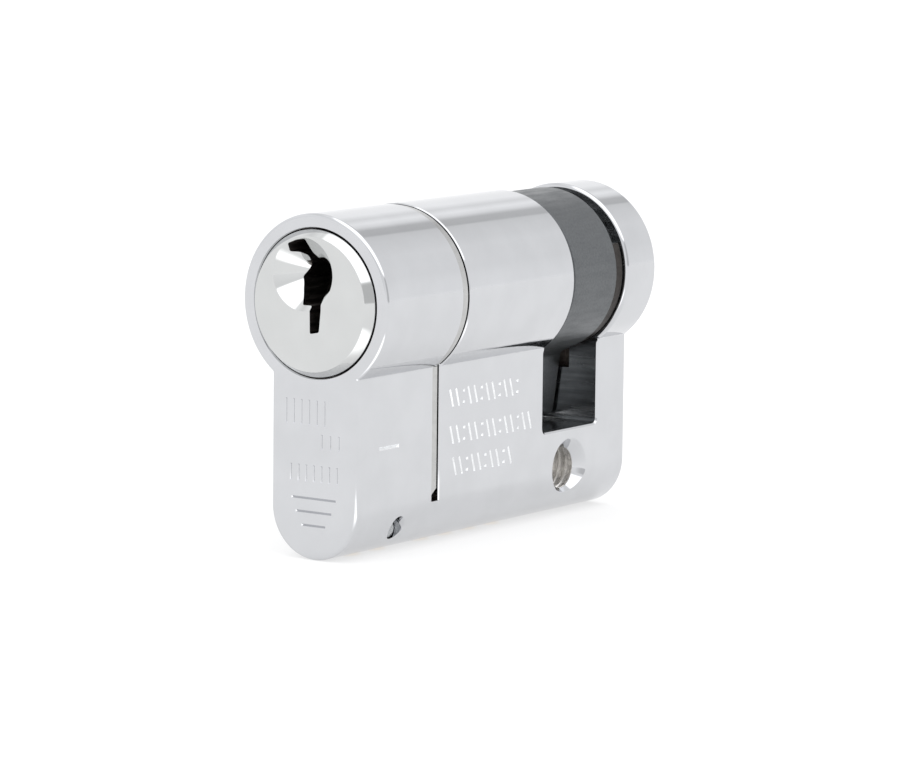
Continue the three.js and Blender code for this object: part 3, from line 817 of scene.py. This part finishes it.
def softened(chain, radius, steps=4):
    """An open (radius, height) chain with its inner corners filleted."""
    points = [chain[0]]
    for before, here, after in zip(chain, chain[1:], chain[2:]):
        a, b, c = Vector(before), Vector(here), Vector(after)
        reach = min(radius, 0.45 * (a - b).length, 0.45 * (c - b).length)
        p = b + (a - b).normalized() * reach
        q = b + (c - b).normalized() * reach
        for i in range(steps + 1):
            t = i / steps
            points.append(tuple(p * (1 - t) ** 2 + b * 2 * t * (1 - t) + q * t ** 2))
    return points + [chain[-1]]


KEYWAY = [
    (0.1, -2.8),
    (1.15, -2.6),
    (1.35, -0.6),
    (1.45, 2.6),
    (1.4, 3.8),
    (-0.2, 4.1),
    (-0.7, 4.7),
    (-0.65, 6.15),
    (-1.65, 6.0),
    (-2.65, 5.6),
    (-2.8, 4.75),
    (-2.0, 4.73),
    (-1.4, 4.4),
    (-1.42, 3.65),
    (-2.2, 2.35),
    (-1.83, 1.23),
    (-1.1, -0.2),
    (0.05, -0.17),
]


def plug():
    clip_y = (clip_low.y + clip_high.y) / 2
    groove = (clip_high.y - clip_low.y) / 2 + 0.05
    inner = 0.05
    profile = [
        (1.0, FACE_Y),
        (FACE_R, FACE_Y),
        (FLANGE_R, FRONT_Y),
        (FLANGE_R, FLANGE_REAR),
        (PLUG_R, FLANGE_REAR),
        (PLUG_R, clip_y - groove),
        (GROOVE_R, clip_y - groove),
        (GROOVE_R, clip_y + groove),
        (PLUG_R, clip_y + groove),
        (PLUG_R, PLUG_REAR),
        (1.0, PLUG_REAR),
    ]
    made = turned("plug_plated", softened(profile, inner))
    slope = DIMPLE_R / DIMPLE_DEPTH
    cone = turned("cone", [
        (DIMPLE_R + slope * PAST, FACE_Y - PAST),
        (DIMPLE_R + 0.05, FACE_Y - 0.02),
        (DIMPLE_R - 0.03, FACE_Y + 0.04),
        (0.02, FACE_Y + DIMPLE_DEPTH),
    ], at=DIMPLE)
    way = extruded("keyway", rounded(KEYWAY, 0.2), FACE_Y - PAST, PLUG_REAR + PAST)
    slot_half = 1.1
    far = PLUG_R + PAST
    tongue_slot = block("tongue_slot", (-far, PLUG_REAR - TONGUE, -slot_half), (far, 0, slot_half))
    holes = []
    for y in chamber_y.values():
        pin_hole = [(CHAMBER_R, -far), (CHAMBER_R, PLUG_CHAMBER_TOP)]
        holes.append(turned("pin_hole", pin_hole, axis="Z", at=(0, y, 0), count=SMALL))
    for node, low_z, high_z in (("upper", 0.0, far), ("lower", -far, LOWER_GUARD_TOP)):
        low, high = extent(f"plug_anti_drill_pin_{node}")
        at = ((low.x + high.x) / 2, (low.y + high.y) / 2, 0)
        guard_hole = [(PLUG_GUARD_R, low_z), (PLUG_GUARD_R, high_z)]
        holes.append(turned("guard_hole", guard_hole, axis="Z", at=at, count=32))
    combine(made, cone, way, tongue_slot, merged("plug_holes", holes))
    cylinders = [("Y", 0, 0, PLUG_R), ("Y", 0, 0, FLANGE_R), ("Y", 0, 0, GROOVE_R)]
    return shade(made, cylinders)


def paint_keyway_shade(obj):
    """The walls of the keyway and the side of the flange take a dark finish as the plug's second material:
    painted shade, and on the keyway walls partly the broached steel's own colour.
    """
    obj.data.materials.append(keyway_painted_shade.material)
    for polygon in obj.data.polygons:
        c, n = polygon.center, polygon.normal
        near = abs(c.x) < 3.6 and abs(c.z) < 6.2
        radius = math.hypot(c.x, c.z)
        in_way = near and radius < PLUG_R - 0.1
        flange_side = radius > FLANGE_R - 0.02 and c.y > FRONT_Y + 0.08
        if abs(n.y) < 0.05 and (in_way or flange_side):
            polygon.material_index = 1


plug_obj = plug()
plug_obj.data.materials.append(plug_chrome)
paint_keyway_shade(plug_obj)
hand_over(plug_obj, "plug", "plug")

# ---- cam, coupler, spindle and circlip ------------------------------------------------------------------


def spun(point, angle):
    """A point in the plane across Y, turned about Y towards -X for its lower half."""
    x, z = point
    c, s = math.cos(angle), math.sin(angle)
    return (x * c + z * s, -x * s + z * c)


def inset(outline, distance):
    """The closed outline moved to the left of its run, which is inwards if it runs anticlockwise."""
    moved = []
    for i, here in enumerate(outline):
        before, after = Vector(outline[i - 1]), Vector(outline[(i + 1) % len(outline)])
        along = after - before
        left = Vector((-along.y, along.x)).normalized()
        moved.append(tuple(Vector(here) + left * distance))
    return moved


def nose_outline():
    half = NOSE_HALF
    root = -math.sqrt(CAM_R ** 2 - half ** 2)
    flare = half + 1.2
    flare_z = -math.sqrt(CAM_R ** 2 - flare ** 2)
    corners = [
        (flare, flare_z + 0.5),
        (-flare, flare_z + 0.5),
        (-flare, flare_z),
        (-half, root - 0.3),
        (-half, -NOSE_TIP_R),
        (half, -NOSE_TIP_R),
        (half, root - 0.3),
        (flare, flare_z),
    ]
    return [spun(p, NOSE_TURN) for p in rounded(corners, 0.9)]


def cam():
    front, rear = cam_low.y, cam_high.y
    edge = 0.18
    ring = [
        (CAM_BORE_R, front),
        (CAM_R - 0.6, front),
        (CAM_R, front + 0.35),
        *rounding(CAM_R, rear - CAM_RIM, -0.08)[::-1],
        (CAM_BORE_R, rear - CAM_RIM),
    ]
    made = turned("cam_sintered", ring, closed=True)
    rim = softened([
        (CAM_BORE_R, rear - CAM_RIM - 0.2),
        (CAM_RIM_R, rear - CAM_RIM - 0.2),
        (CAM_RIM_R, rear + RIM_PROUD),
        (CAM_BORE_R, rear + RIM_PROUD),
    ], edge)
    outline = nose_outline()
    bevel = 0.05
    stations = (
        (front, edge),
        (front + bevel, bevel),
        (front + edge, 0),
        (rear - edge, 0),
        (rear - bevel, bevel),
        (rear, edge),
    )
    rings = []
    for y, depth in stations:
        rings.append([Vector((x, y, z)) for x, z in inset(outline, depth)])
    combine(made, turned("rim", rim, closed=True), skin("nose", rings), operation="UNION")
    recess = turned("recess", [(CAM_RECESS_R, front - PAST), (CAM_RECESS_R, front + CAM_RECESS_DEPTH)])
    reach = 7.3
    wing = 1.6
    wings = block("wings", (-reach, front - 0.5, -wing), (reach, 0, wing))
    gap_low = (-RIM_GAP_HALF, rear - CAM_RIM, RIM_GAP_FOOT)
    gap_high = (RIM_GAP_HALF, rear + PAST, CAM_R + PAST)
    notch = block("notch", gap_low, gap_high)
    bore = turned("bore", [(CAM_BORE_R, front - PAST), (CAM_BORE_R, rear + PAST)])
    combine(made, bore, recess, wings, notch)
    return shade(made, [("Y", 0, 0, r) for r in (CAM_R, CAM_RIM_R, CAM_BORE_R, CAM_RECESS_R)])


def paint_rim_shade(obj):
    """The cam's narrow rear rim takes a darker second material, as painted shade in its gap before the rear
    head.
    """
    obj.data.materials.append(rim_painted_shade.material)
    for polygon in obj.data.polygons:
        c = polygon.center
        if c.y > cam_high.y - CAM_RIM + 0.02 and math.hypot(c.x, c.z) > CAM_RIM_R - 0.2 and c.z > -CAM_RIM_R:
            polygon.material_index = 1


cam_obj = cam()
cam_obj.data.materials.append(sintered.material)
paint_rim_shade(cam_obj)
hand_over(cam_obj, "cam", "cam")


def coupler():
    front, rear = coupler_low.y + TONGUE, coupler_high.y
    edge = 0.15
    radius = 6.3
    disc = [(1.0, front), (radius, front), (radius, rear), (1.0, rear)]
    made = turned("cam_coupler_disc", softened(disc, edge))
    reach, wing = coupler_high.x, 1.5
    wings = block("coupler_wings", (-reach, front + 2 * HAIR, -wing), (reach, rear - 2 * HAIR, wing))
    tongue_reach = 5.5
    tongue_low = (-tongue_reach, coupler_low.y, -TONGUE)
    tongue = block("coupler_tongue", tongue_low, (tongue_reach, front + 0.2, TONGUE))
    combine(made, wings, tongue, operation="UNION")
    return shade(made, [("Y", 0, 0, radius)])


hand_over(coupler(), "plug", "cam_coupler", hardened.material)


def spindle():
    radius = spindle_high.x
    front, rear = spindle_low.y, spindle_high.y
    made = turned("rear_spindle_turned", softened([
        (1.2, front + 0.6),
        (1.5, front),
        (radius, front),
        (radius, rear),
        (1.0, rear),
    ], 0.2))
    return shade(made, [("Y", 0, 0, radius)])


hand_over(spindle(), "housing", "rear_spindle", hardened.material)


def circlip():
    """The C ring, as a section with rounded corners swept round, open between its two ends."""
    inner, outer = GROOVE_R + 0.05, clip_high.x
    low, high = clip_low.y, clip_high.y
    section = rounded([(inner, low), (outer, low), (outer, high), (inner, high)], 0.12, 3)
    gap = math.radians(28)
    steps = 120
    rings = []
    for i in range(steps + 1):
        angle = math.pi / 2 + gap + (2 * math.pi - 2 * gap) * i / steps
        rings.append([Vector((r * math.cos(angle), y, r * math.sin(angle))) for r, y in section])
    return shade(skin("plug_circlip_ring", rings))


hand_over(circlip(), "plug", "plug_circlip", black_steel.material)

# ---- pins, springs and chamber plugs --------------------------------------------------------------------


def upright(name, profile, x, y, edge=0.06):
    """A turned pin along Z whose ends are flat."""
    return shade(turned(name, softened(profile, edge), axis="Z", at=(x, y, 0), count=SMALL))


def spring_coil(name, node, y):
    """A compression spring in the space of its CAD node, with its turns closer towards both ends."""
    low, high = extent(node)
    wire = 0.17
    radius = 1.1
    z0, z1 = low.z + wire, high.z - wire
    turns, steps, sides = 8, 28, 8
    count = turns * steps
    rings = []
    for i in range(count + 1):
        t = i / count
        angle = 2 * math.pi * turns * t
        eased = t + math.sin(2 * math.pi * t) * -0.055
        centre = Vector((radius * math.cos(angle), y + radius * math.sin(angle), z0 + (z1 - z0) * eased))
        outward = Vector((math.cos(angle), math.sin(angle), 0))
        ring = []
        for j in range(sides):
            a = 2 * math.pi * j / sides
            ring.append(centre + outward * wire * math.cos(a) + Vector((0, 0, wire * math.sin(a))))
        rings.append(ring)
    return shade(skin(name, rings), crease=60)


def key_pin(stack):
    node = f"key_pin_{stack}"
    low, high = extent(node)
    made = upright(f"{node}_turned", [
        (0.3, low.z),
        (PIN_R - 0.1, low.z),
        (PIN_R, low.z + 0.1),
        (PIN_R, high.z - 0.9),
        (0.5, high.z - 0.02),
        (0.2, high.z),
    ], 0, chamber_y[stack])
    hand_over(made, node, node, brass.material)


def driver_pin(stack):
    node = f"driver_pin_{stack}"
    low, high = extent(node)
    waist = [(PIN_R, low.z + 1.2), (SPOOL_R, low.z + 1.5), (SPOOL_R, high.z - 1.2), (PIN_R, high.z - 0.9)]
    made = upright(f"{node}_turned", [
        (0.3, low.z),
        (PIN_R - 0.15, low.z),
        (PIN_R, low.z + 0.15),
        *(waist if stack in SPOOL_STACKS else []),
        (PIN_R, high.z - 0.1),
        (PIN_R - 0.1, high.z),
        (0.3, high.z),
    ], 0, chamber_y[stack])
    hand_over(made, node, node, hardened.material)


def chamber_plug(stack):
    node = f"chamber_plug_{stack}"
    low, high = extent(node)
    made = upright(f"{node}_pressed", [
        (0.5, low.z + 0.08),
        (1.1, low.z),
        (PIN_R, low.z + 0.06),
        (PIN_R, high.z),
        (0.3, high.z),
    ], 0, chamber_y[stack])
    hand_over(made, "housing", node, brass.material)


def pin_spring(stack):
    """The coil, with a mesh of its own."""
    node = f"pin_spring_{stack}"
    y = chamber_y[stack]
    coil = spring_coil(f"{node}_coil", node, y)
    hand_over(coil, "housing", node, spring_steel.material)
    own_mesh(coil)


for stack in STACKS:
    key_pin(stack)
    driver_pin(stack)
    chamber_plug(stack)
    pin_spring(stack)


def guard(node, body_name, edge=0.12):
    """An anti-drill pin along Z with chamfered ends."""
    low, high = extent(node)
    radius = (high.x - low.x) / 2
    x, y = (low.x + high.x) / 2, (low.y + high.y) / 2
    made = upright(f"{node}_ground", [
        (0.1, low.z),
        (radius - edge, low.z),
        (radius, low.z + edge),
        (radius, high.z - edge),
        (radius - edge, high.z),
        (0.1, high.z),
    ], x, y, 0.04)
    hand_over(made, body_name, node, hardened.material)


guard("plug_anti_drill_pin_upper", "plug")
guard("plug_anti_drill_pin_lower", "plug")
guard("body_anti_drill_pin_left", "housing")
guard("body_anti_drill_pin_right", "housing")

low, high = extent("foot_anti_drill_pin")
foot_pin = turned("foot_anti_drill_pin_ground", softened([
    (0.2, low.x),
    (0.9, low.x),
    (0.9, high.x - 0.25),
    (0.55, high.x),
    (0.2, high.x - 0.1),
], 0.06), axis="X", at=(0, (low.y + high.y) / 2, (low.z + high.z) / 2), count=SMALL)
hand_over(shade(foot_pin), "housing", "foot_anti_drill_pin", hardened.material)

# ---- stage ----------------------------------------------------------------------------------------------


def plane(name, size, z):
    half = size / 2
    mesh = bpy.data.meshes.new(name)
    corners = [(-half, -half, z), (half, -half, z), (half, half, z), (-half, half, z)]
    mesh.from_pydata(corners, [], [(0, 1, 2, 3)])
    obj = bpy.data.objects.new(name, mesh)
    bpy.context.scene.collection.objects.link(obj)
    return obj


floor = plane("floor", 8.0, FOOT_Z * MM)
paper = bpy.data.materials.new("pale_floor")
paper.use_nodes = True
paper_shader = paper.node_tree.nodes["Principled BSDF"]
paper_shader.inputs["Base Color"].default_value = (0.35, 0.35, 0.35, 1)
paper_shader.inputs["Roughness"].default_value = 0.9
paper_shader.inputs["Specular IOR Level"].default_value = 0.1
paper_shader.inputs["Emission Color"].default_value = (1, 1, 1, 1)
floor.data.materials.append(paper)


def chained(tree, source, *steps):
    """A row of vector maths nodes, each (operation, second vector)."""
    for operation, second in steps:
        node = tree.nodes.new("ShaderNodeVectorMath")
        node.operation = operation
        tree.links.new(source, node.inputs[0])
        node.inputs[1].default_value = second
        source = node.outputs["Value" if operation == "LENGTH" else "Vector"]
    return source


# The floor is a light table, evenly lit from below; the brighter pool in front of the lock is a pool of
# light painted into its glow.
FLOOR_GLOW = 0.62
PAINTED_POOL_GLOW = 1.45
PAINTED_POOL_CENTRE = (0.024, -0.052, FOOT_Z * MM)
PAINTED_POOL_INNER, PAINTED_POOL_OUTER = 0.012, 0.022  # radii between which the pool fades

away = chained(
    paper.node_tree,
    paper.node_tree.nodes.new("ShaderNodeTexCoord").outputs["Object"],
    ("SUBTRACT", PAINTED_POOL_CENTRE),
    ("LENGTH", (0, 0, 0)),
)
glow_with_painted_pool = paper.node_tree.nodes.new("ShaderNodeMapRange")
glow_with_painted_pool.interpolation_type = "SMOOTHSTEP"
glow_with_painted_pool.inputs["From Min"].default_value = PAINTED_POOL_INNER
glow_with_painted_pool.inputs["From Max"].default_value = PAINTED_POOL_OUTER
glow_with_painted_pool.inputs["To Min"].default_value = PAINTED_POOL_GLOW
glow_with_painted_pool.inputs["To Max"].default_value = FLOOR_GLOW
paper.node_tree.links.new(away, glow_with_painted_pool.inputs["Value"])
paper.node_tree.links.new(glow_with_painted_pool.outputs["Result"], paper_shader.inputs["Emission Strength"])

# How bright the light tent is round the Y axis: left horizon (-1), overhead (0), right horizon (1).
TENT = [
    (-0.91, 1.104),
    (-0.75, 1.161),
    (-0.60, 0.977),
    (-0.45, 1.184),
    (-0.33, 1.035),
    (-0.22, 0.690),
    (-0.04, 0.667),
    (0.0, 0.862),
    (0.16, 0.920),
    (0.36, 0.966),
    (0.54, 1.023),
    (0.68, 1.02),
    (0.89, 1.03),
    (1.0, 1.10),
]
SIDE_PANEL = 0.72  # a grey panel, low on the right
SOFTBOX = 1.9  # a bright patch, high up
FLOOR_LEVEL = 1.14  # what the lit floor comes to, so that no horizon shows in the plating

scene = bpy.context.scene
world = bpy.data.worlds.new("light_tent")
world.use_nodes = True
scene.world = world
nodes, links = world.node_tree.nodes, world.node_tree.links
background = nodes["Background"]
direction = nodes.new("ShaderNodeTexCoord").outputs["Generated"]
split = nodes.new("ShaderNodeSeparateXYZ")
links.new(direction, split.inputs["Vector"])
x, y, z = split.outputs["X"], split.outputs["Y"], split.outputs["Z"]


def arithmetic(operation, *values):
    node = nodes.new("ShaderNodeMath")
    node.operation = operation
    for value, socket in zip(values, node.inputs):
        if isinstance(value, (int, float)):
            socket.default_value = value
        else:
            links.new(value, socket)
    return node.outputs[0]


def step(value, low, high):
    """0 below low, 1 above high (or the other way round), smooth between."""
    node = nodes.new("ShaderNodeMapRange")
    node.interpolation_type = "SMOOTHSTEP"
    node.inputs["From Min"].default_value = low
    node.inputs["From Max"].default_value = high
    links.new(value, node.inputs["Value"])
    return node.outputs["Result"]


def blended(first, second, share):
    """first + (second - first) * share."""
    return arithmetic("MULTIPLY_ADD", arithmetic("SUBTRACT", second, first), share, first)


square = arithmetic("ADD", arithmetic("MULTIPLY", x, x), arithmetic("MULTIPLY", z, z))
sideways = arithmetic("DIVIDE", x, arithmetic("MAXIMUM", arithmetic("SQRT", square), 0.001))
ramp = nodes.new("ShaderNodeValToRGB")
while len(ramp.color_ramp.elements) < len(TENT):
    ramp.color_ramp.elements.new(0.5)
for element, (across, level) in zip(ramp.color_ramp.elements, TENT):
    element.position = (across + 1) / 2
    element.color = (level, level, level, 1)
links.new(arithmetic("MULTIPLY_ADD", sideways, 0.5, 0.5), ramp.inputs["Fac"])
tent = ramp.outputs["Color"]
side_panel = arithmetic("MULTIPLY", step(x, 0.78, 0.88), step(y, 0.5, 0.35))
tent = blended(tent, SIDE_PANEL, arithmetic("MULTIPLY", side_panel, step(z, 0.5, 0.4)))
softbox = arithmetic("MULTIPLY", step(z, 0.44, 0.50), step(x, -0.4, -0.3))
tent = blended(tent, SOFTBOX, arithmetic("MULTIPLY", softbox, step(y, 0.42, 0.30)))
tent = blended(FLOOR_LEVEL, tent, step(z, 0.0, 0.03))
tint = nodes.new("ShaderNodeCombineColor")
links.new(tent, tint.inputs["Red"])
links.new(arithmetic("MULTIPLY", tent, 1.004), tint.inputs["Green"])
links.new(arithmetic("MULTIPLY", tent, 1.012), tint.inputs["Blue"])
links.new(tint.outputs["Color"], background.inputs["Color"])
background.inputs["Strength"].default_value = 1.0


def lamp(name, kind, at, target, power, **settings):
    data = bpy.data.lights.new(name, kind)
    data.energy = power
    for key, value in settings.items():
        setattr(data, key, value)
    obj = bpy.data.objects.new(name, data)
    obj.location = at
    obj.rotation_euler = (Vector(target) - Vector(at)).to_track_quat("-Z", "Y").to_euler()
    obj.visible_camera = False
    obj.visible_glossy = False
    scene.collection.objects.link(obj)
    return obj


lamp("overhead_wash", "SUN", (0.3, -0.2, 1.0), (0, 0, 0), 0.2, angle=math.radians(70))

# ---- camera ---------------------------------------------------------------------------------------------

AZIMUTH = math.radians(35.129)
ELEVATION = math.radians(7.721)
ROLL = math.radians(0.621)
AIM = Vector((0, FRONT_Y * MM, -0.008))
OFFSET = (0.012775, 0.000879, 0.442089)  # from the aim to the eye: right, up and back, in metres
FOCAL_LENGTH = 187.73

back = Vector((
    math.sin(AZIMUTH) * math.cos(ELEVATION),
    -math.cos(AZIMUTH) * math.cos(ELEVATION),
    math.sin(ELEVATION),
))
level_right = Vector((math.cos(AZIMUTH), math.sin(AZIMUTH), 0))
level_up = back.cross(level_right)
right = level_right * math.cos(ROLL) + level_up * math.sin(ROLL)
up = level_up * math.cos(ROLL) - level_right * math.sin(ROLL)
lens = bpy.data.cameras.new("camera")
lens.lens = FOCAL_LENGTH
lens.sensor_width = 36
lens.clip_start = 0.01
camera = bpy.data.objects.new("camera", lens)
eye = AIM + level_right * OFFSET[0] + level_up * OFFSET[1] + back * OFFSET[2]
turn = Matrix((right, up, back)).transposed().to_4x4()
camera.matrix_world = Matrix.Translation(eye) @ turn
scene.collection.objects.link(camera)
scene.camera = camera
scene.view_settings.view_transform = "Standard"
